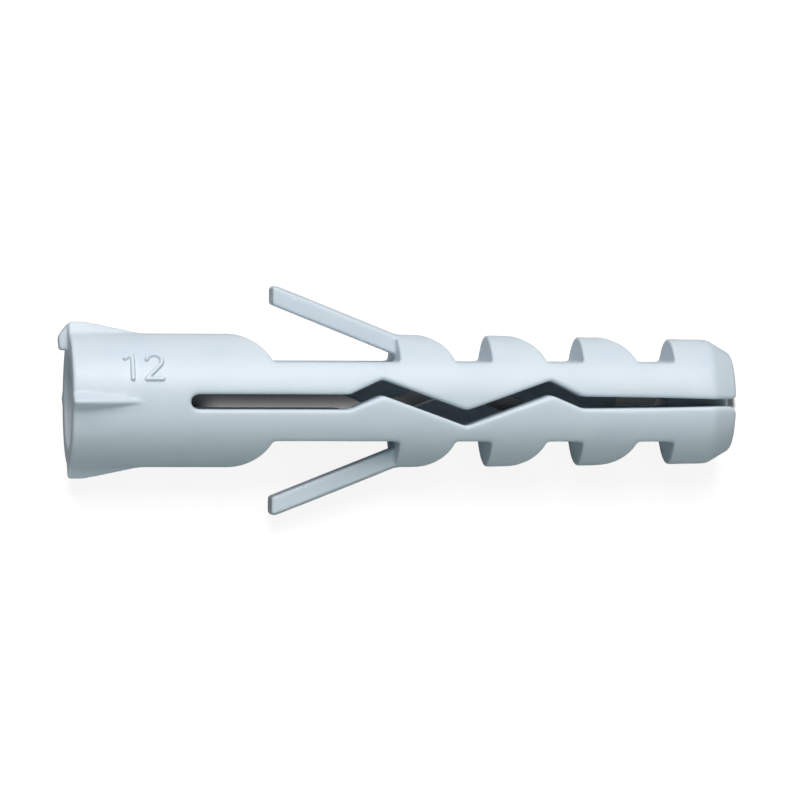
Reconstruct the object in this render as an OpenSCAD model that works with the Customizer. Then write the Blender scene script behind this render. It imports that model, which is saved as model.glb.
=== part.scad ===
// Expansion plug for solid walls, one moulding
// The axis runs along X, from the open mouth at X = 0 to the split tip

/* [Body] */
// Outside diameter of the collar, the size of the drilled hole
plug_d = 8; // [7.6:0.1:8.4]
// Length from the mouth to the tip
plug_l = 40; // [39.6:0.1:44]
// Diameter of the body where the tip cone starts
tip_d = 7.46; // [7.1:0.02:7.8]
// Length of the tip cone
cone_l = 1.4; // [1:0.1:2.2]
// Diameter of the tip's end face
tip_end_d = 5.8; // [5.2:0.1:6.8]
// Rounding of the crease where the tip cone starts
crease_r = 0.7; // [0.3:0.1:1]
// Rounding of the tip's outer edge
end_r = 0.3; // [0.1:0.05:0.4]
// Rounding of the mouth's outer edge
edge_r = 0.15; // [0.05:0.05:0.3]

/* [Screw hole] */
// Diameter of the straight stretch at the mouth
bore_d = 5.6; // [5:0.1:6]
// Length of the straight stretch at the mouth
bore_l = 4; // [2:0.5:6]
// Diameter where the hole enters the neck
neck_bore_d = 3.2; // [2.6:0.1:3.6]
// Diameter at the blind end
end_bore_d = 2; // [1.4:0.1:2.4]
// Depth of the hole from the mouth
bore_depth = 33.4; // [32:0.1:34]

/* [Collar and neck] */
// Distance from the mouth at which the collar starts to fall away
collar_l = 9.4; // [8.6:0.1:9.6]
// Radius of the collar's falling edge
collar_r = 2.9; // [2.5:0.1:3.6]
// Thickness across the two flats of the neck
neck_t = 4.7; // [4.2:0.1:5.2]

/* [Humps] */
// Distance from the mouth to the first step
step_x = 19.6; // [19:0.1:20]
// Spacing of the steps
step_pitch = 5.54; // [5:0.02:5.6]
// Length of the level top of each hump
hump_flat = 1.1; // [0.6:0.1:1.6]
// Radius of the falling back of each hump
hump_r = 2.4; // [2.2:0.1:2.8]

/* [Ribs at the mouth] */
// Height of a rib over the collar
rib_h = 0.7; // [0.4:0.05:1]
// Width of a rib at its foot
rib_w = 1.04; // [0.8:0.02:1.4]
// Length of a rib, to where its crest sinks into the collar
rib_l = 4.4; // [3.4:0.1:6]
// Length of the level part of a rib's crest
rib_flat = 1; // [0.4:0.1:1.6]

/* [Wings] */
// Angle of a wing to the axis
wing_angle = 21.7; // [16:0.1:26]
// Thickness of a wing
wing_t = 1.15; // [0.8:0.05:1.3]
// Width of a wing
wing_w = 2.3; // [1.8:0.1:3]
// Distance from the mouth to the wings' free ends
wing_x = 12.15; // [11.5:0.05:14]
// Height of a wing's underside over the neck's flat, at its root
wing_gap = 0.45; // [0.2:0.05:0.5]

/* [Split] */
// Distance from the mouth to the round end of the slot
slot_x = 7; // [6.4:0.1:8]
// Width of the slot in the collar
slot_w = 0.9; // [0.7:0.05:1]
// Width of the slot on the far side
far_w = 0.98; // [0.8:0.02:1.1]
// Height of the slot's zigzag, from the axis to its first and last corner
zig_h = 0.88; // [0.6:0.02:0.96]
// Height of the slot's zigzag, from the axis to its middle corner
zig_mid_h = 0.95; // [0.6:0.01:0.96]
// Distance from the mouth to the start of the zigzag
zig_x = 16.5; // [15.5:0.1:17]
// Length of the zigzag's first leg, along the axis
zig_first = 2; // [1.6:0.1:2.2]
// Length of the zigzag's two long legs, along the axis
zig_leg = 5.07; // [4.6:0.01:5.1]
// Length of the zigzag's last leg, along the axis
zig_last = 1.9; // [1.6:0.1:2.2]
// Width of the slot just after the zigzag
slot_end_w = 0.72; // [0.5:0.02:0.8]
// Width of the slot half way from the zigzag to the tip
slot_late_w = 0.6; // [0.46:0.02:0.7]
// Width of the slot at the tip
slot_tip_w = 0.44; // [0.24:0.01:0.5]
// Rounding of the tooth corners along the zigzag
tooth_r = 0.6; // [0.2:0.1:0.8]
// Rounding of the slot's lower corner at the tip
lip_r = 0.5; // [0.2:0.05:0.7]
// Rounding of the slot's upper corner at the tip
lip_up_r = 0.25; // [0.1:0.05:0.4]

/* [Moulding gate] */
// Height of the gate stub over the mouth
gate_h = 0.56; // [0.2:0.02:0.8]
// Thickness of the gate stub, from the parting plane to the far side
gate_w = 1; // [0.6:0.1:1.2]
// Distance of the gate stub's inner edge from the axis
gate_low = 2.97; // [2.9:0.01:3.4]

/* [Lying position] */
// Roll about the axis that rests the plug on its lower wing
lie_roll = 26.9; // [20:0.1:32]

/* [Hidden] */
$fn = 96;
eps = 0.01;
// How far cutting shapes stand out past the body
spare = 1;
// Largest turn of one straight piece of a rounded corner
arc_step = 12;
body_r = plug_d / 2;
tip_r = tip_d / 2;
cone_x = plug_l - cone_l;
neck_z = neck_t / 2;
hump_n = 4;
window_x = step_x + (hump_n - 1) * step_pitch;
// Depth to which ribs are sunk into the body
sink = 0.7;
collar_end = collar_l + sqrt(pow(collar_r, 2) - pow(collar_r - body_r + neck_z, 2));
// The body narrows from here to the tip cone, faster and faster
taper_x = collar_end + 1;
function r_at(x) = body_r + (tip_r - body_r) * pow(max(0, x - taper_x) / (cone_x - taper_x), 2);
taper_steps = 5;
// The screw hole is straight, then narrows to the neck and to its end
bore_neck_x = collar_end - sink;
bore_taper = 1.5;

// Each corner [x, y, r] of an outline becomes an arc of radius r
function unit(v) = v / norm(v);
function corner(a, b, c, r) =
    let (
        p = [b[0], b[1]],
        u = unit([a[0], a[1]] - p),
        v = unit([c[0], c[1]] - p),
        half = acos(max(-1, min(1, u * v))) / 2,
        reach = r / tan(half),
        mid = p + unit(u + v) * r / sin(half),
        from = p + u * reach - mid,
        to = p + v * reach - mid,
        a0 = atan2(from[1], from[0]),
        turn = atan2(to[1], to[0]) - a0,
        sweep = turn > 180 ? turn - 360 : turn < -180 ? turn + 360 : turn,
        n = max(2, ceil(abs(sweep) / arc_step))
    )
    [for (i = [0:n]) mid + r * [cos(a0 + sweep * i / n), sin(a0 + sweep * i / n)]];
function rounded(pts) =
    let (n = len(pts))
    [for (i = [0:n - 1])
        each pts[i][2] > 0
            ? corner(pts[(i + n - 1) % n], pts[i], pts[(i + 1) % n], pts[i][2])
            : [[pts[i][0], pts[i][1]]]];

// Middle of the slot: [distance, height, half width]
zig_1 = zig_x + zig_first;
zig_2 = zig_1 + zig_leg;
zig_3 = zig_2 + zig_leg;
zig_4 = zig_3 + zig_last;
late_x = (zig_4 + plug_l) / 2;
// The slot's half width grows by this at its corners
corner_gain = 0.03;
// The near slot's zigzag keeps its width to the last corner; the far one has one width
function zig_path(half, last_half) = [
    [zig_x, 0, half],
    [zig_1, zig_h, half + corner_gain],
    [zig_2, -zig_mid_h, half + corner_gain],
    [zig_3, zig_h, last_half + corner_gain],
];
tail_path = [
    [zig_4, 0, slot_end_w / 2],
    [late_x, 0, slot_late_w / 2],
    [cone_x, 0, slot_tip_w / 2],
    [plug_l + spare, 0, slot_tip_w / 2],
];

// Side of the slot: side is 1 for the upper edge and -1 for the lower one
hollow_r = 0.06;
function edge(path, side, end_r) = [
    for (i = [0:len(path) - 1])
        let (
            prev = path[max(0, i - 1)][1],
            next = path[min(len(path) - 1, i + 1)][1],
            bend = side * ((prev + next) / 2 - path[i][1]),
            turn_r = bend > eps ? tooth_r : bend < -eps ? hollow_r : 0,
            r = i == len(path) - 1 ? end_r : turn_r
        )
        [path[i][0], path[i][1] + side * path[i][2], r]
];
function flip(pts) = [for (i = [len(pts) - 1:-1:0]) pts[i]];
// Closed outline of a slot that starts with a round end in the collar
function slot_outline(path, end_r) =
    let (half = path[0][2])
    rounded(concat(
        [[slot_x, half, half - eps]],
        edge(path, 1, end_r),
        flip(edge(path, -1, end_r)),
        [[slot_x, -half, half - eps]]
    ));

// Body of revolution that holds every outer round face
module round_core() {
    rotate([0, 90, 0])
        rotate_extrude($fn = 128)
            polygon(rounded(concat(
                [[0, 0, 0], [body_r, 0, edge_r]],
                [for (i = [0:taper_steps])
                    let (x = taper_x + (cone_x - taper_x) * i / taper_steps)
                    [r_at(x), x, i < taper_steps ? 0 : crease_r]],
                [[tip_end_d / 2, plug_l, end_r], [0, plug_l, 0]]
            )));
}

// Upper half of the outline seen from the side
module hump(x, flat, r, top) {
    mid = [x + flat, top - r];
    translate([x, 0])
        square([flat + eps, body_r + rib_h]);
    intersection() {
        translate(mid)
            circle(r = r);
        translate([mid[0], 0])
            square([r, top]);
    }
}

module upper_outline() {
    translate([-spare, -eps])
        square([plug_l + 2 * spare, neck_z + eps]);
    hump(-spare, collar_l + spare, collar_r, body_r);
    for (i = [0:hump_n - 2])
        hump(
            step_x + i * step_pitch, hump_flat, hump_r,
            r_at(step_x + i * step_pitch + hump_flat)
        );
    translate([window_x, 0])
        square([plug_l - window_x + spare, body_r + rib_h]);
}

module side_block() {
    rotate([90, 0, 0])
        linear_extrude(height = plug_d + 2 * spare, center = true) {
            upper_outline();
            mirror([0, 1])
                upper_outline();
        }
}

// Cross-section of a rib, its crest drop below its height at the mouth
module rib_section(x, drop) {
    crest_r = 0.14;
    crest_n = 8;
    crest = body_r + rib_h - crest_r - drop;
    foot = body_r - sink - drop;
    slope = atan2(rib_w / 2 - crest_r, rib_h);
    half = rib_w / 2 + sink * tan(slope);
    translate([x, 0, 0])
        rotate([90, 0, 90])
            linear_extrude(height = eps)
                polygon(concat(
                    [[-half, foot], [half, foot]],
                    [for (a = [slope:(180 - 2 * slope) / crest_n:180 - slope + eps])
                        [crest_r * cos(a), crest + crest_r * sin(a)]]
                ));
}

module rib() {
    tail = 0.4;
    hull() {
        rib_section(0, 0);
        rib_section(rib_flat, 0);
        rib_section(rib_l + tail, rib_h * (1 + tail / (rib_l - rib_flat)));
    }
}

module ribs() {
    for (a = [0:90:270])
        rotate([a, 0, 0])
            rib();
}

// Wing that springs away from the neck, crowned along its outer face
module wing() {
    crown_r = body_r;
    corner_r = 0.15;
    // Flat on top of the free end, and length of the root inside the first hump
    tip_cut = 0.16;
    root_in = 0.9;
    root_z = neck_z + wing_gap;
    rise = tan(wing_angle);
    tall = wing_t / cos(wing_angle);
    end_z = root_z + (step_x - wing_x) * rise;
    intersection() {
        rotate([90, 0, 0])
            linear_extrude(height = wing_w, center = true)
                polygon(rounded([
                    [wing_x, end_z, corner_r],
                    [step_x, root_z, 0],
                    [step_x + root_in, root_z, 0],
                    [step_x + root_in, root_z + tall - root_in * rise, 0],
                    [wing_x + tip_cut / rise, end_z + tall - tip_cut, corner_r],
                    [wing_x, end_z + tall - tip_cut, corner_r],
                ]));
        translate([step_x, 0, root_z + tall])
            rotate([0, wing_angle - 90, 0])
                translate([-crown_r, 0, -spare])
                    cylinder(r = crown_r, h = (step_x - wing_x) / cos(wing_angle) + 2 * spare);
    }
}

module wings() {
    wing();
    mirror([0, 0, 1])
        wing();
}

// Stub of the moulding gate, on the rim at the far side of the parting plane
module gate_stub() {
    root = 0.3;
    high = body_r + rib_h - edge_r;
    mid = (gate_low + high) / 2;
    translate([0, gate_w, 0])
        rotate([90, 0, 0])
            linear_extrude(height = gate_w)
                polygon(rounded([
                    [root, gate_low, 0],
                    [root, high, 0],
                    [0, high, edge_r / 2],
                    [-gate_h, mid, gate_h / 2],
                    [edge_r / 2 - gate_h, gate_low, edge_r / 2],
                ]));
}

module screw_hole() {
    rotate([0, 90, 0])
        rotate_extrude($fn = 96)
            polygon([
                [0, -spare],
                [bore_d / 2, -spare],
                [bore_d / 2, bore_l],
                [neck_bore_d / 2, bore_neck_x],
                [neck_bore_d / 2, zig_3],
                [end_bore_d / 2, zig_3 + bore_taper],
                [end_bore_d / 2, bore_depth],
                [0, bore_depth],
            ]);
}

// The near slot runs from the collar to the tip, as deep as the axis
module near_slot() {
    rotate([90, 0, 0])
        linear_extrude(height = plug_d) {
            polygon(slot_outline(
                concat(zig_path(slot_w / 2, (slot_w + slot_end_w) / 4), tail_path), 0
            ));
            for (side = [-1, 1])
                lip(side);
        }
}

// Flare between the slot's side and the tip's end face
module lip(side) {
    r = side > 0 ? lip_up_r : lip_r;
    half = slot_tip_w / 2;
    difference() {
        translate([plug_l - r, side > 0 ? 0 : -half - r])
            square([r + spare, half + r]);
        translate([plug_l - r, side * (half + r)])
            circle(r = r, $fn = 48);
    }
}

// The far slot mirrors the zigzag and ends in a bridge and a window
module far_slot() {
    half = slot_end_w / 2;
    past_corner = 0.7;
    overlap = 0.1;
    last = [zig_3 + past_corner, zig_h, half];
    rotate([-90, 0, 0])
        linear_extrude(height = plug_d) {
            polygon(slot_outline(concat(zig_path(far_w / 2, far_w / 2), [last]), half - eps));
            translate([bore_depth - overlap, -slot_late_w / 2])
                square([window_x - bore_depth + overlap, slot_late_w]);
        }
}

module plug_body() {
    color([0.84, 0.88, 0.91])
        rotate([lie_roll - 90, 0, 0])
            difference() {
                union() {
                    intersection() {
                        round_core();
                        side_block();
                    }
                    ribs();
                    wings();
                    gate_stub();
                }
                screw_hole();
                near_slot();
                far_slot();
            }
}

plug_body();
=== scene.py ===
"""Finish, mould number and studio for a moulded wall plug that lies on a pale table.

The plug's axis runs along +X from the mouth's rim. Round it the script works with three
directions: axis, up (towards the upper wing) and front (towards the open side of the slot). The
plug lies rolled about its axis, so up and front are the frame's Y and Z turned by that roll.
"""

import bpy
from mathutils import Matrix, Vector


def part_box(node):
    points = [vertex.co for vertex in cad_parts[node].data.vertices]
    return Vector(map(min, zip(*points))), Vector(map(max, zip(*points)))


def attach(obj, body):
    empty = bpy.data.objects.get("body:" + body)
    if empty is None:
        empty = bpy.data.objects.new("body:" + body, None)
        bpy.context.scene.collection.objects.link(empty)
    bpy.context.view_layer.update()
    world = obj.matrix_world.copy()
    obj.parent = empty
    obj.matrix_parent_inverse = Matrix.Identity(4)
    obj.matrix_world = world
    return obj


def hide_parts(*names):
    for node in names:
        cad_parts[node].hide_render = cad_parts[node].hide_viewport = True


bl_info = {
    "name": "Wall Plug Finish",
    "version": (1, 0, 0),
    "blender": (4, 5, 0),
    "location": "3D View > Sidebar > Wall Plug",
    "description": "Dresses a moulded wall plug and sets its studio",
    "category": "Object",
}

import math

import bmesh
import bpy
import numpy as np
import openvdb
from mathutils import Matrix, Vector

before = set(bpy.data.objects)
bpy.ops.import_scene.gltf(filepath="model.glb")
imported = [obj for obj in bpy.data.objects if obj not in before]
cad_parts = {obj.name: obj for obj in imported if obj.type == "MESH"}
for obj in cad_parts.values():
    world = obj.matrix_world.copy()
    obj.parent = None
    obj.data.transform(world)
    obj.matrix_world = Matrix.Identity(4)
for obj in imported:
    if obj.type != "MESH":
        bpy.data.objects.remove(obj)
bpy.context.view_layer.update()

BODY = "root"
MM = 0.001
# Roll about the axis that lays the plug on its lower wing, as in the part's source
LIE_ROLL = math.radians(26.9)
AXIS = Vector((1, 0, 0))
UP = Vector((0, math.cos(LIE_ROLL), math.sin(LIE_ROLL)))
FRONT = Vector((0, -math.sin(LIE_ROLL), math.cos(LIE_ROLL)))
LOW_CORNER, HIGH_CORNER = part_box("plug_body")
MIDDLE = AXIS * HIGH_CORNER.x / 2
FLOOR_Z = LOW_CORNER.z
COLLAR_RADIUS = 4 * MM


class PlugBodySettings(bpy.types.PropertyGroup):
    cell: bpy.props.FloatProperty(
        name="Cell",
        description="Size of the cells in which the rounded form is worked out",
        default=0.09 * MM,
        min=0.05 * MM,
        unit="LENGTH",
    )
    edge_round: bpy.props.FloatProperty(
        name="Edge rounding",
        description="How far the form is softened along the moulding's edges",
        default=0.07 * MM,
        min=0.0,
        unit="LENGTH",
    )
    lip_round: bpy.props.FloatProperty(
        name="Lip rounding",
        description="How far the form is softened along the slot's outer lips",
        default=0.12 * MM,
        min=0.0,
        unit="LENGTH",
    )
    edge_angle: bpy.props.FloatProperty(
        name="Edge angle",
        description="Faces that meet at more than this angle make an edge, and less a curve",
        default=math.radians(30),
        subtype="ANGLE",
    )


class PlugPlasticSettings(bpy.types.PropertyGroup):
    colour: bpy.props.FloatVectorProperty(
        name="Colour",
        description="Pale blue grey of the nylon",
        default=(0.69, 0.765, 0.82),
        subtype="COLOR",
        min=0.0,
        max=1.0,
    )
    roughness: bpy.props.FloatProperty(
        name="Roughness",
        description="Mean roughness of the moulded surface",
        default=0.42,
        subtype="FACTOR",
        min=0.0,
        max=1.0,
    )
    glow_depth: bpy.props.FloatProperty(
        name="Glow depth",
        description="How far light travels under the surface",
        default=0.35 * MM,
        unit="LENGTH",
    )
    grain_size: bpy.props.FloatProperty(
        name="Grain size",
        description="Size of the fine grain that the mould leaves",
        default=0.09 * MM,
        unit="LENGTH",
    )
    grain_depth: bpy.props.FloatProperty(
        name="Grain depth",
        description="Height of that grain",
        default=0.003 * MM,
        unit="LENGTH",
    )


class MouldNumberSettings(bpy.types.PropertyGroup):
    height: bpy.props.FloatProperty(
        name="Digit height",
        description="Height of the raised digits, measured round the collar",
        default=1.9 * MM,
        unit="LENGTH",
    )
    relief: bpy.props.FloatProperty(
        name="Relief",
        description="How far the digits stand over the collar",
        default=0.16 * MM,
        unit="LENGTH",
    )
    stroke: bpy.props.FloatProperty(
        name="Stroke",
        description="Width of a stroke at its foot",
        default=0.34 * MM,
        unit="LENGTH",
    )
    along: bpy.props.FloatProperty(
        name="Distance",
        description="Distance of the number's middle from the mouth",
        default=4.2 * MM,
        unit="LENGTH",
    )
    round_angle: bpy.props.FloatProperty(
        name="Angle",
        description="Angle of the number's middle, from the front towards the upper wing",
        default=math.radians(31.5),
        subtype="ANGLE",
    )


class PlugStudioSettings(bpy.types.PropertyGroup):
    camera_turn: bpy.props.FloatProperty(
        name="Camera turn",
        description="Turn of the camera towards the mouth",
        default=math.radians(7.6),
        subtype="ANGLE",
    )
    camera_lift: bpy.props.FloatProperty(
        name="Camera lift",
        description="Lift of the camera towards the upper wing",
        default=math.radians(1.3),
        subtype="ANGLE",
    )
    camera_roll: bpy.props.FloatProperty(
        name="Camera roll",
        description="Roll of the camera, by which the tip stands lower in the picture",
        default=math.radians(0.14),
        subtype="ANGLE",
    )
    camera_distance: bpy.props.FloatProperty(
        name="Camera distance",
        description="Distance of the camera from the plug's middle",
        default=0.397,
        unit="LENGTH",
    )
    lens: bpy.props.FloatProperty(
        name="Lens",
        description="Focal length in millimetres on a 36 mm wide film",
        default=297.5,
    )
    table_colour: bpy.props.FloatVectorProperty(
        name="Table colour",
        description="Colour of the table where the plug is lit by it",
        default=(0.3, 0.31, 0.32),
        subtype="COLOR",
        min=0.0,
        max=1.0,
    )
    key_power: bpy.props.FloatProperty(
        name="Key power",
        description="Power of the softbox over the plug, in watts",
        default=2.25,
    )
    fill_strength: bpy.props.FloatProperty(
        name="Fill",
        description="Strength of the soft light from all round the plug's sides",
        default=0.75,
    )
    low_fill: bpy.props.FloatProperty(
        name="Low fill",
        description="How much stronger the soft light is low in front",
        default=1.2,
    )


class Amount:
    """A number that varies over the surface: arithmetic on it adds Math nodes that work it out."""

    def __init__(self, graph, socket):
        self.graph = graph
        self.socket = socket

    def _with(self, operation, first, second):
        return self.graph.node(
            "ShaderNodeMath", {"operation": operation}, {0: first, 1: second}
        )

    def __add__(self, other):
        return self._with("ADD", self, other)

    def __radd__(self, other):
        return self._with("ADD", other, self)

    def __sub__(self, other):
        return self._with("SUBTRACT", self, other)

    def __rsub__(self, other):
        return self._with("SUBTRACT", other, self)

    def __mul__(self, other):
        return self._with("MULTIPLY", self, other)

    def __rmul__(self, other):
        return self._with("MULTIPLY", other, self)

    def __pow__(self, other):
        return self._with("POWER", self, other)


class Graph:
    """The node tree of a material or of the world."""

    def __init__(self, material):
        material.use_nodes = True
        self.tree = material.node_tree
        self.tree.nodes.clear()

    def node(self, kind, settings, sockets, output=0):
        """Adds a node and returns one of its outputs: settings are its own options, sockets its
        values or links."""
        made = self.tree.nodes.new(kind)
        for name, value in settings.items():
            setattr(made, name, value)
        for name, value in sockets.items():
            if isinstance(value, Amount):
                self.tree.links.new(value.socket, made.inputs[name])
            else:
                made.inputs[name].default_value = value
        return Amount(self, made.outputs[output]) if made.outputs else None


def plastic_material(settings):
    """Moulded nylon: pale, slightly translucent plastic with clouds, flow lines and fine grain."""
    material = bpy.data.materials.new("plug_nylon")
    graph = Graph(material)
    place = graph.node("ShaderNodeTexCoord", {}, {}, "Object")

    def noise(size, detail, stretch=(1.0, 1.0, 1.0)):
        """Noise of the given size in metres, stretched along the frame's axes."""
        spot = graph.node(
            "ShaderNodeMapping",
            {"vector_type": "POINT"},
            {"Vector": place, "Scale": [1.0 / (size * s) for s in stretch]},
        )
        return graph.node(
            "ShaderNodeTexNoise",
            {"noise_dimensions": "3D"},
            {"Vector": spot, "Scale": 1.0, "Detail": detail, "Roughness": 0.55},
            "Fac",
        )

    cloud = noise(3.2 * MM, 3.0)
    flow = noise(0.55 * MM, 2.0, (14.0, 1.0, 1.0))
    speck = noise(0.35 * MM, 4.0)
    grain = noise(settings.grain_size, 3.0)

    pale = tuple(settings.colour) + (1.0,)
    deep = tuple(c * t for c, t in zip(settings.colour, (0.93, 0.955, 0.97))) + (1.0,)
    tone = cloud * 0.6 + flow * 0.25 + speck * 0.15
    colour = graph.node(
        "ShaderNodeMix",
        {"data_type": "RGBA", "clamp_factor": True},
        {"Factor": (tone - 0.36) * 3.2, 6: deep, 7: pale},
        2,
    )
    roughness = (speck - 0.5) * 0.18 + (flow - 0.5) * 0.12 + settings.roughness
    relief = grain * 0.7 + speck * 0.9 + flow * 0.5
    normal = graph.node(
        "ShaderNodeBump",
        {},
        {"Strength": 1.0, "Distance": settings.grain_depth, "Height": relief},
        "Normal",
    )
    shader = graph.node(
        "ShaderNodeBsdfPrincipled",
        {"subsurface_method": "RANDOM_WALK"},
        {
            "Base Color": colour,
            "Roughness": roughness,
            "Normal": normal,
            "IOR": 1.5,
            "Subsurface Weight": 0.25,
            "Subsurface Radius": (1.0, 1.0, 1.0),
            "Subsurface Scale": settings.glow_depth,
        },
    )
    graph.node("ShaderNodeOutputMaterial", {}, {"Surface": shader})
    return material


def dressed_mesh(node, name):
    """A copy of a node's mesh with its loose triangles joined and its flat faces made whole."""
    mesh = node.data.copy()
    mesh.name = name
    mesh.materials.clear()
    shape = bmesh.new()
    shape.from_mesh(mesh)
    bmesh.ops.remove_doubles(shape, verts=shape.verts, dist=0.0001 * MM)
    bmesh.ops.dissolve_limit(
        shape, angle_limit=math.radians(0.4), verts=shape.verts, edges=shape.edges
    )
    shape.to_mesh(mesh)
    shape.free()
    mesh.shade_smooth()
    return mesh


def values(items, name, size, kind=float):
    """One property of a mesh's items as an array with one row for each."""
    found = np.empty(size * len(items), kind)
    items.foreach_get(name, found)
    return found.reshape(-1, size)


def bent_triangles(mesh, steps=5, most=0.018 * MM):
    """A mesh's triangles as a finer net that follows its smooth shading. A spot at shares b of the
    corners lies at p = sum(b * corner), and is moved by 3/4 of the way to sum(b * q), where q is p
    dropped onto the corner's tangent plane, but by a given distance at most. Flat triangles stay
    flat."""
    mesh.calc_loop_triangles()
    triangles = mesh.loop_triangles
    corners = values(mesh.vertices, "co", 3)[values(triangles, "vertices", 3, int)]
    normals = values(mesh.corner_normals, "vector", 3)[values(triangles, "loops", 3, int)]
    first, second = np.nonzero(np.add.outer(np.arange(steps + 1), np.arange(steps + 1)) <= steps)
    shares = np.column_stack([first, second, steps - first - second]) / steps
    place = np.full((steps + 2, steps + 2), -1)
    place[first, second] = np.arange(len(first))
    upright = np.stack([place[:-1, :-1], place[1:, :-1], place[:-1, 1:]], -1).reshape(-1, 3)
    turned = np.stack([place[1:, :-1], place[1:, 1:], place[:-1, 1:]], -1).reshape(-1, 3)
    net = np.concatenate([upright, turned])
    net = net[net.min(axis=1) >= 0]
    spots = np.einsum("qa,mac->mqc", shares, corners)
    drop = np.einsum("mqac,mac->mqa", spots[:, :, None] - corners[:, None], normals)
    lift = 0.75 * np.einsum("qa,mqa,mac->mqc", shares, drop, normals)
    far = np.linalg.norm(lift, axis=2, keepdims=True)
    spots -= lift * np.minimum(1.0, most / np.maximum(far, 1e-12))
    starts = len(shares) * np.arange(len(triangles))
    return spots.reshape(-1, 3), (net + starts[:, None, None]).reshape(-1, 3)


def softened(field, width):
    """A field of values in cells, each a mean of its neighbours with the weight of a bell curve,
    exp(-d^2 / (2 width^2)) at a distance of d cells, taken along one axis after another."""
    reach = math.ceil(3 * width)
    offsets = np.arange(-reach, reach + 1)
    bell = np.exp(-(offsets**2) / (2 * width**2))
    bell /= bell.sum()
    for axis in range(3):
        lined = np.moveaxis(field, axis, 0)
        padded = np.concatenate([lined[:1]] * reach + [lined] + [lined[-1:]] * reach)
        mean = sum(
            np.float32(share) * padded[shift : shift + len(lined)]
            for shift, share in enumerate(bell)
        )
        field = np.moveaxis(mean, 0, axis)
    return np.ascontiguousarray(field)


def field_at(field, spots):
    """The field's value at spots between its cells: a mean of the eight cells round each spot, in
    which a cell's share is the product over the axes of 1 less its distance in cells."""
    low = np.floor(spots).astype(int)
    part = spots - low
    total = np.zeros(len(spots))
    for step in np.ndindex(2, 2, 2):
        share = np.prod(np.where(step, part, 1.0 - part), axis=1)
        total += share * field[tuple((low + step).T)]
    return total


def share_past(places, start, length):
    """How far places lie past a start, as a share of a length, from 0 to 1."""
    return np.clip((places - start) / length, 0.0, 1.0)


def eased(share):
    """A share from 0 to 1 as the smooth step t^2 (3 - 2 t)."""
    return share * share * (3.0 - 2.0 * share)


def moulded_mesh(crisp, name, settings):
    """The crisp solid with soft edges. Its distance field, below 0 inside, is softened by the edge
    width, and by the lip width near the front and back of the plug; the surface is where the
    result is 0, and its normals are the way in which the result grows."""
    cell = settings.cell
    # Cells on each side of the surface that hold its distance, more than the softening reaches
    band = 7.0
    spots, net = bent_triangles(crisp)
    lattice = openvdb.createLinearTransform(voxelSize=cell)
    solid = openvdb.FloatGrid.createLevelSetFromPolygons(
        spots.astype(np.float32),
        triangles=net.astype(np.uint32),
        transform=lattice,
        halfWidth=band,
    )
    low, high = (np.array(corner) for corner in solid.evalActiveVoxelBoundingBox())
    field = np.empty(high - low + 1, np.float32)
    solid.copyToArray(field, ijk=tuple(low.tolist()))
    x, y, z = np.ogrid[tuple(slice(0, count) for count in field.shape)]
    forward = np.abs((y + low[1]) * FRONT.y + (z + low[2]) * FRONT.z) * cell
    near_skin = share_past(forward, 2.7 * MM, 0.5 * MM)
    past_ribs = share_past((x + low[0]) * cell, 5.6 * MM, MM)
    lips = eased(near_skin * past_ribs).astype(np.float32)
    field = softened(field, settings.edge_round / cell) * (1.0 - lips) + lips * softened(
        field, settings.lip_round / cell
    )
    soft = openvdb.FloatGrid(solid.background)
    soft.copyFromArray(field, ijk=tuple(low.tolist()))
    soft.transform = lattice
    points, triangles, quads = soft.convertToPolygons(isovalue=0.0, adaptivity=0.02)
    place = points / cell - low
    normals = np.stack(
        [field_at(field, place + step) - field_at(field, place - step) for step in np.eye(3) / 2],
        axis=-1,
    )
    normals /= np.linalg.norm(normals, axis=1, keepdims=True)
    mesh = bpy.data.meshes.new(name)
    mesh.from_pydata(points, [], triangles.tolist() + quads.tolist())
    mesh.shade_smooth()
    mesh.normals_split_custom_set_from_vertices(normals)
    return mesh


def stroke_distance(s, t, points):
    """Distance of each spot (s, t) from a bent line: the least over its straight stretches. The
    nearest spot to p on the stretch from a to b is a + (b - a) * share, where share is
    ((p - a) . (b - a)) / |b - a|^2, kept between 0 and 1."""
    nearest = np.full(s.shape, np.inf)
    for a, b in zip(points[:-1], points[1:]):
        run = np.subtract(b, a)
        share = ((s - a[0]) * run[0] + (t - a[1]) * run[1]) / (run @ run)
        share = np.clip(share, 0.0, 1.0)
        gap = np.hypot(s - a[0] - share * run[0], t - a[1] - share * run[1])
        nearest = np.minimum(nearest, gap)
    return nearest


def arc(centre, radius, start, end, steps=14):
    """Points on a circle's arc from one angle to another, in degrees."""
    turn = np.radians(np.linspace(start, end, steps))
    return [(centre[0] + radius * math.cos(a), centre[1] + radius * math.sin(a)) for a in turn]


def digit_strokes(digit):
    """The middle lines of a digit in a cell 0.6 wide and 1 high, its left foot at (0, 0)."""
    one = [[(0.10, 0.78), (0.33, 0.93), (0.33, 0.07)]]
    bowl = arc((0.29, 0.69), 0.24, 165, -38)
    two = [bowl + [(0.04, 0.07), (0.55, 0.07)]]
    return {"1": one, "2": two}[digit]


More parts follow.
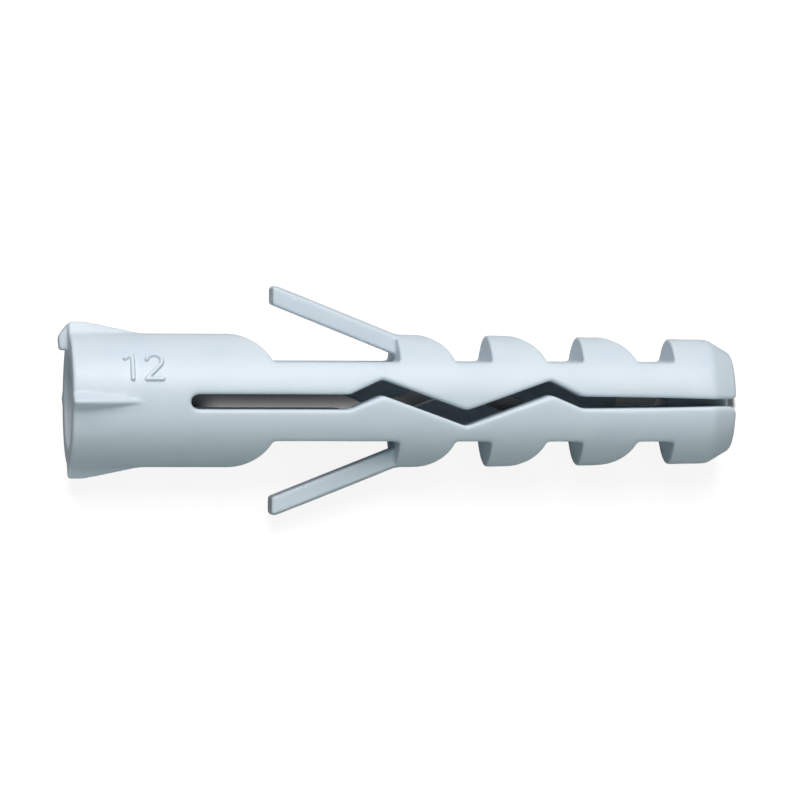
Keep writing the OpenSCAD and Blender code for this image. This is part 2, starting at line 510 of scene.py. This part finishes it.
def number_mesh(settings):
    """Two raised digits as one patch of the collar. Over the patch's grid of distance s along the
    axis and t round the collar, the radius is the collar's less a little, plus the relief times a
    smooth step that falls from 1 to 0 between a stroke's flat top and its foot. An underside
    closes it."""
    digits = "12"
    height = settings.height
    advance = 0.72 * height
    width = advance * (len(digits) - 1) + 0.6 * height
    margin = settings.stroke
    spacing = 0.028 * MM
    s_line = np.arange(-width / 2 - margin, width / 2 + margin, spacing)
    t_line = np.arange(-height / 2 - margin, height / 2 + margin, spacing)
    s, t = np.meshgrid(s_line, t_line, indexing="ij")
    gap = np.full(s.shape, np.inf)
    for place, digit in enumerate(digits):
        left = -width / 2 + place * advance
        for stroke in digit_strokes(digit):
            line = [(left + x * height, -height / 2 + y * height) for x, y in stroke]
            gap = np.minimum(gap, stroke_distance(s, t, line))
    half = settings.stroke / 2
    rise = eased(share_past(half - gap, 0.0, 0.62 * half))
    sunk = 0.03 * MM
    radius = COLLAR_RADIUS - sunk + (settings.relief + sunk) * rise
    lower = np.full(radius.shape, COLLAR_RADIUS - 5 * sunk)
    angle = settings.round_angle + t / COLLAR_RADIUS

    def place_at(r):
        """Spots at radius r: along the axis by s, turned by the angle from front towards up."""
        spots = np.empty(s.shape + (3,))
        for i in range(3):
            spots[..., i] = AXIS[i] * (settings.along + s) + r * (
                FRONT[i] * np.cos(angle) + UP[i] * np.sin(angle)
            )
        return spots.reshape(-1, 3)

    rows, columns = s.shape
    index = np.arange(rows * columns).reshape(rows, columns)
    top = np.stack(
        [index[:-1, :-1], index[1:, :-1], index[1:, 1:], index[:-1, 1:]], axis=-1
    ).reshape(-1, 4)
    below = top[:, ::-1] + rows * columns
    rim = np.concatenate(
        [index[:-1, 0], index[-1, :-1], index[:0:-1, -1], index[0, :0:-1]]
    )
    after = np.roll(rim, -1)
    sides = np.stack([after, rim, rim + rows * columns, after + rows * columns], axis=-1)
    mesh = bpy.data.meshes.new("plug_number")
    mesh.from_pydata(
        np.concatenate([place_at(radius), place_at(lower)]),
        [],
        np.concatenate([top, below, sides]).tolist(),
    )
    mesh.update()
    return mesh


class PLUG_OT_body(bpy.types.Operator):
    """Rounds the moulding's edges and gives it its nylon"""

    bl_idname = "plug.body"
    bl_label = "Plug Body"

    def execute(self, context):
        settings = context.scene.plug_body
        crisp = dressed_mesh(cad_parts["plug_body"], "plug_crisp")
        piece = bpy.data.objects.new("plug_finish", crisp)
        context.scene.collection.objects.link(piece)
        # The bevel is clamped to a hair. It only parts the normals on the two sides of each edge,
        # so that curved faces bend in bent_triangles and flat ones stay flat
        edges = piece.modifiers.new("edges", "BEVEL")
        edges.width = 0.1 * MM
        edges.segments = 3
        edges.limit_method = "ANGLE"
        edges.angle_limit = settings.edge_angle
        edges.miter_outer = "MITER_ARC"
        shading = piece.modifiers.new("shading", "WEIGHTED_NORMAL")
        shading.mode = "FACE_AREA"
        shading.weight = 60
        finished = piece.evaluated_get(context.evaluated_depsgraph_get())
        mesh = moulded_mesh(finished.to_mesh(), "plug_finish", settings)
        finished.to_mesh_clear()
        piece.modifiers.clear()
        piece.data = mesh
        bpy.data.meshes.remove(crisp)
        mesh.materials.append(plastic_material(context.scene.plug_plastic))
        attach(piece, BODY)
        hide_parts("plug_body")
        return {"FINISHED"}


class PLUG_OT_number(bpy.types.Operator):
    """Raises the mould's number on the collar"""

    bl_idname = "plug.number"
    bl_label = "Mould Number"

    def execute(self, context):
        mesh = number_mesh(context.scene.plug_number)
        piece = bpy.data.objects.new("plug_number", mesh)
        context.scene.collection.objects.link(piece)
        mesh.materials.append(bpy.data.materials["plug_nylon"])
        mesh.shade_smooth()
        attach(piece, BODY)
        return {"FINISHED"}


def look(centre, towards, right_hint):
    """A rotation whose Z axis points towards the eye and whose X axis lies nearest right_hint."""
    back = towards.normalized()
    right = (right_hint - back * right_hint.dot(back)).normalized()
    up = back.cross(right)
    turn = Matrix((right, up, back)).transposed().to_4x4()
    return Matrix.Translation(centre) @ turn


def add_camera(settings):
    """The camera at the photograph's angle: it stands at its distance from the plug's middle,
    turned towards the mouth, lifted towards the upper wing and rolled a little off the axis."""
    turn = settings.camera_turn
    lift = settings.camera_lift
    towards = (
        -AXIS * math.sin(turn) * math.cos(lift)
        + UP * math.sin(lift)
        + FRONT * math.cos(turn) * math.cos(lift)
    )
    aim = MIDDLE + UP * 0.05 * MM
    data = bpy.data.cameras.new("camera")
    data.lens = settings.lens
    data.sensor_width = 36
    data.clip_start = 0.01
    camera = bpy.data.objects.new("camera", data)
    level = AXIS * math.cos(settings.camera_roll) + UP * math.sin(settings.camera_roll)
    camera.matrix_world = look(aim + towards * settings.camera_distance, towards, level)
    bpy.context.scene.collection.objects.link(camera)
    bpy.context.scene.camera = camera


def add_softbox(name, direction, distance, size, power):
    """A lamp that faces the plug's middle from a direction. Its size is a width along the plug and
    a height."""
    data = bpy.data.lights.new(name, "AREA")
    data.shape = "RECTANGLE"
    data.size, data.size_y = size
    data.energy = power
    data.color = (1.0, 0.945, 0.962)
    lamp = bpy.data.objects.new(name, data)
    lamp.matrix_world = look(MIDDLE + direction.normalized() * distance, direction, AXIS)
    bpy.context.scene.collection.objects.link(lamp)


def table_material(colour):
    """A pale table. To the plug it is a plain grey. To the camera it is nearly white, part lit and
    part glow, and keeps a soft shadow. Under the plug a painted shadow is laid on it: smooth steps
    along X and Y make the painted shadow, which is deeper under the collar and the humps than
    under the neck and ends under the tip, but for a strip of painted shade that is seen through
    the slot's end."""
    material = bpy.data.materials.new("table")
    graph = Graph(material)
    seen = graph.node("ShaderNodeLightPath", {}, {}, "Is Camera Ray")
    matt = graph.node("ShaderNodeBsdfDiffuse", {}, {"Color": tuple(colour) + (1.0,)})
    lit = graph.node("ShaderNodeBsdfDiffuse", {}, {"Color": (0.22, 0.215, 0.213, 1.0)})
    glow = graph.node(
        "ShaderNodeEmission", {}, {"Color": (1.0, 0.99, 0.985, 1.0), "Strength": 0.88}
    )
    # Painted shadow: a flat grey that the camera sees on the table under the plug, standing in for
    # the shade there
    painted_shadow_grey = graph.node("ShaderNodeBsdfDiffuse", {}, {"Color": (0.105, 0.11, 0.114, 1.0)})
    place = graph.node("ShaderNodeTexCoord", {}, {}, "Object")

    def step(axis, clear, full):
        """0 at the first place along the frame's axis, in millimetres, and 1 at the second."""
        return graph.node(
            "ShaderNodeMapRange",
            {"interpolation_type": "SMOOTHSTEP"},
            {
                "Value": graph.node("ShaderNodeSeparateXYZ", {}, {"Vector": place}, axis),
                "From Min": clear * MM,
                "From Max": full * MM,
            },
            "Result",
        )

    # The painted shadow under the plug, from smooth steps: deeper under the collar and humps than
    # under the neck, ending under the tip, but for a strip of painted shade seen through the
    # slot's end
    neck = step("Y", -0.5, 2.6)
    humps = step("Y", -0.2, 1.2)
    collar = step("Y", -0.7, 1.0) * step("X", 9.7, 8.1)
    strip = step("Y", 1.3, 1.8) * step("Y", 2.9, 2.4)
    before_tip = step("X", 40.2, 38)
    painted_shadow = neck + (humps - neck) * step("X", 18.5, 22)
    painted_shadow = painted_shadow + (1.0 - painted_shadow) * collar
    painted_shadow = painted_shadow * step("Y", 4.2, 2.9) * step("X", 3, 5) * step("X", 41.42, 41.1)
    painted_shadow = painted_shadow * (strip + (1.0 - strip) * before_tip)
    white = graph.node("ShaderNodeAddShader", {}, {0: lit, 1: glow})
    # Where the painted shadow is full, the camera sees the flat grey in place of the lit and
    # glowing white
    shaded = graph.node("ShaderNodeMixShader", {}, {0: painted_shadow, 1: white, 2: painted_shadow_grey})
    shader = graph.node("ShaderNodeMixShader", {}, {0: seen, 1: matt, 2: shaded})
    graph.node("ShaderNodeOutputMaterial", {}, {"Surface": shader})
    return material


def add_table(colour):
    """A square table top under the plug, at the lowest point of the solids."""
    half = 1.5
    mesh = bpy.data.meshes.new("table")
    corners = [(-half, -half), (half, -half), (half, half), (-half, half)]
    mesh.from_pydata([(x, y, FLOOR_Z) for x, y in corners], [], [(0, 1, 2, 3)])
    mesh.materials.append(table_material(colour))
    table = bpy.data.objects.new("table", mesh)
    bpy.context.scene.collection.objects.link(table)


def set_world(strength, low_fill):
    """Soft pale light from all round the plug and plain white to the camera. The light's level is
    (1 - x^2)^4.5 along a direction's part x on the axis, dips straight over the front and grows
    towards the low front; the whole is scaled so that the level stays under 1."""
    world = bpy.data.worlds.new("studio")
    bpy.context.scene.world = world
    graph = Graph(world)
    seen = graph.node("ShaderNodeLightPath", {}, {}, "Is Camera Ray")
    direction = graph.node("ShaderNodeTexCoord", {}, {}, "Generated")
    along = graph.node("ShaderNodeSeparateXYZ", {}, {"Vector": direction}, "X")

    def lobe(towards, power):
        """The direction's part along another one, where it isn't negative, to a power."""
        part = graph.node(
            "ShaderNodeVectorMath",
            {"operation": "DOT_PRODUCT"},
            {0: direction, 1: towards},
            "Value",
        )
        return graph.node("ShaderNodeMath", {"operation": "MAXIMUM"}, {0: part, 1: 0.0}) ** power

    full = 1.0 + low_fill
    level = (1.0 - along * along) ** 4.5 * (1.0 - lobe(FRONT, 6.0) * 0.85)
    level = level * (1.0 + lobe(FRONT * 0.6 - UP * 0.8, 2.0) * low_fill) * (1.0 / full)
    black = graph.node("ShaderNodeBackground", {}, {"Color": (0.0, 0.0, 0.0, 1.0)})
    soft = graph.node(
        "ShaderNodeBackground",
        {},
        {"Color": (0.855, 1.0, 0.98, 1.0), "Strength": strength * full},
    )
    white = graph.node(
        "ShaderNodeBackground", {}, {"Color": (1.0, 1.0, 1.0, 1.0), "Strength": 1.0}
    )
    even = graph.node("ShaderNodeMixShader", {}, {0: level, 1: black, 2: soft})
    shader = graph.node("ShaderNodeMixShader", {}, {0: seen, 1: even, 2: white})
    graph.node("ShaderNodeOutputWorld", {}, {"Surface": shader})


class PLUG_OT_studio(bpy.types.Operator):
    """Sets the table, the lamps and the camera"""

    bl_idname = "plug.studio"
    bl_label = "Studio"

    def execute(self, context):
        settings = context.scene.plug_studio
        context.scene.view_settings.view_transform = "Standard"
        add_table(settings.table_colour)
        key = UP * 0.7 + FRONT * 0.71 - AXIS * 0.03
        add_softbox("key", key, distance=0.5, size=(0.26, 0.4), power=settings.key_power)
        set_world(settings.fill_strength, settings.low_fill)
        add_camera(settings)
        return {"FINISHED"}


class PLUG_PT_panel(bpy.types.Panel):
    """The plug's sizes and its operators"""

    bl_idname = "PLUG_PT_panel"
    bl_label = "Wall Plug"
    bl_space_type = "VIEW_3D"
    bl_region_type = "UI"
    bl_category = "Wall Plug"

    def draw(self, context):
        for name, operator in OPERATORS.items():
            group = getattr(context.scene, name)
            box = self.layout.box()
            for field in group.__annotations__:
                box.prop(group, field)
            if operator:
                box.operator(operator)


GROUPS = {
    "plug_body": PlugBodySettings,
    "plug_plastic": PlugPlasticSettings,
    "plug_number": MouldNumberSettings,
    "plug_studio": PlugStudioSettings,
}
OPERATORS = {
    "plug_body": "plug.body",
    "plug_plastic": None,
    "plug_number": "plug.number",
    "plug_studio": "plug.studio",
}
CLASSES = (
    *GROUPS.values(),
    PLUG_OT_body,
    PLUG_OT_number,
    PLUG_OT_studio,
    PLUG_PT_panel,
)


def register():
    for cls in CLASSES:
        bpy.utils.register_class(cls)
    for name, group in GROUPS.items():
        setattr(bpy.types.Scene, name, bpy.props.PointerProperty(type=group))


def unregister():
    for name in GROUPS:
        delattr(bpy.types.Scene, name)
    for cls in reversed(CLASSES):
        bpy.utils.unregister_class(cls)


def main():
    register()
    bpy.ops.plug.body()
    bpy.ops.plug.number()
    bpy.ops.plug.studio()


if __name__ == "__main__":
    main()
